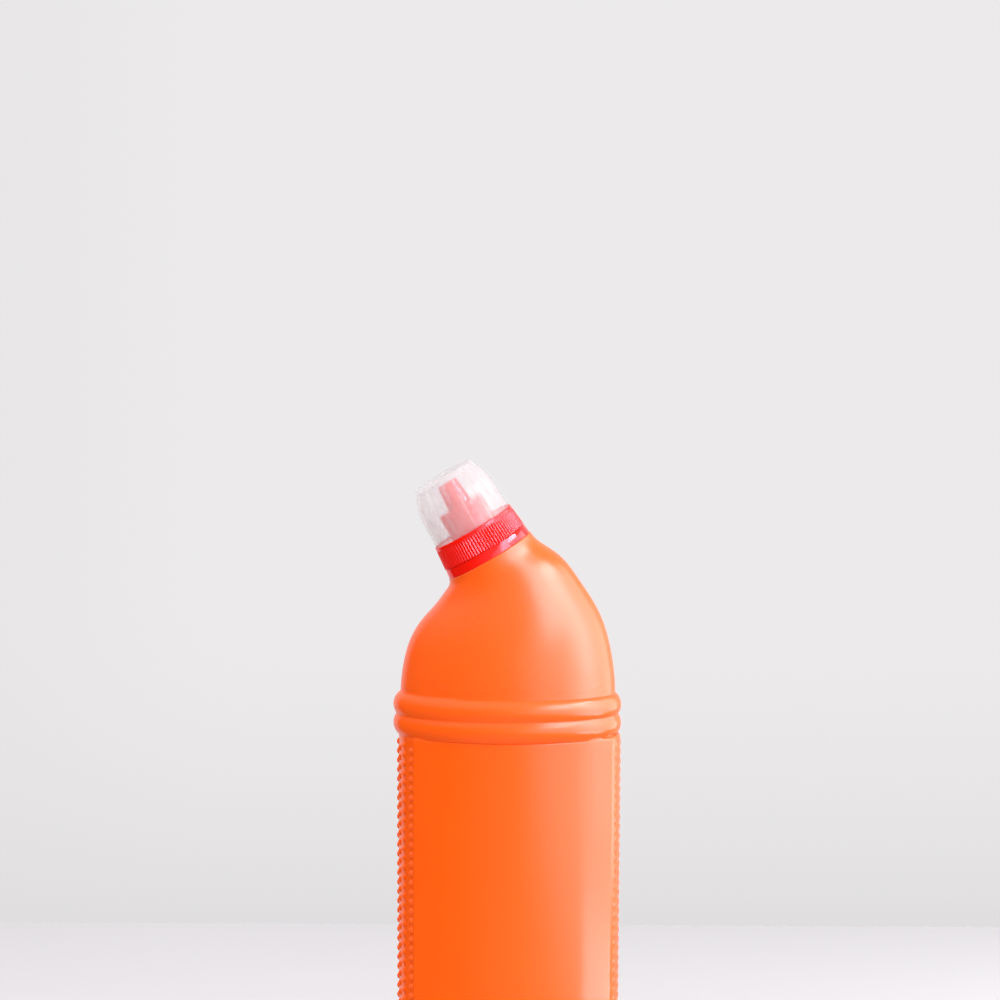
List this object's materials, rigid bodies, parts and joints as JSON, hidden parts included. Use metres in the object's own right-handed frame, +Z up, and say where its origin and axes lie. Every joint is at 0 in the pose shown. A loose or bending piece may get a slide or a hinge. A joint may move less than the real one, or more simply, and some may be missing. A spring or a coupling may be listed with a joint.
{
  "type": "bleach bottle",
  "caption": "Oval bleach bottle with roll ribs, a dome bent over into a slanted neck, a knurled screw closure with a pouring nozzle, and a clear overcap.",
  "frame": {"origin": "centre of the footprint on the surface that the bottle stands on", "axes": "+Z up, the neck leans to -X, the plain front panel faces -Y"},
  "size_m": [0.0874, 0.06, 0.2796],
  "materials": {
    "bottle_plastic": "satin blow-moulded polyethylene",
    "closure_plastic": "glossy moulded polypropylene",
    "washer_foam": "soft foamed polyethylene",
    "overcap_plastic": "clear moulded polypropylene"
  },
  "bodies": {
    "bottle_body": {"bottle": "bottle_plastic", "tamper_band": "closure_plastic"},
    "washer_carrier": {"sealing_washer": "washer_foam"},
    "closure_body": {"closure": "closure_plastic"},
    "overcap_body": {"overcap": "overcap_plastic"}
  },
  "joints": [
    {"name": "closure_lift", "type": "slide", "parent": "bottle_body", "child": "washer_carrier", "axis": [-0.5105, 0, 0.8599], "range_m": [0, 0.0064]},
    {"name": "closure_turn", "type": "hinge", "parent": "washer_carrier", "child": "closure_body", "pos_m": [-0.00695, 0, 0.24265], "axis": [-0.5105, 0, 0.8599], "range_deg": [0, 540]},
    {"name": "overcap_pull", "type": "slide", "parent": "closure_body", "child": "overcap_body", "axis": [-0.5105, 0, 0.8599], "range_m": [0, 0.03]}
  ],
  "couplings": [
    {"joint": "closure_lift", "follows": "closure_turn", "m_per_rad": 0.00066845}
  ]
}
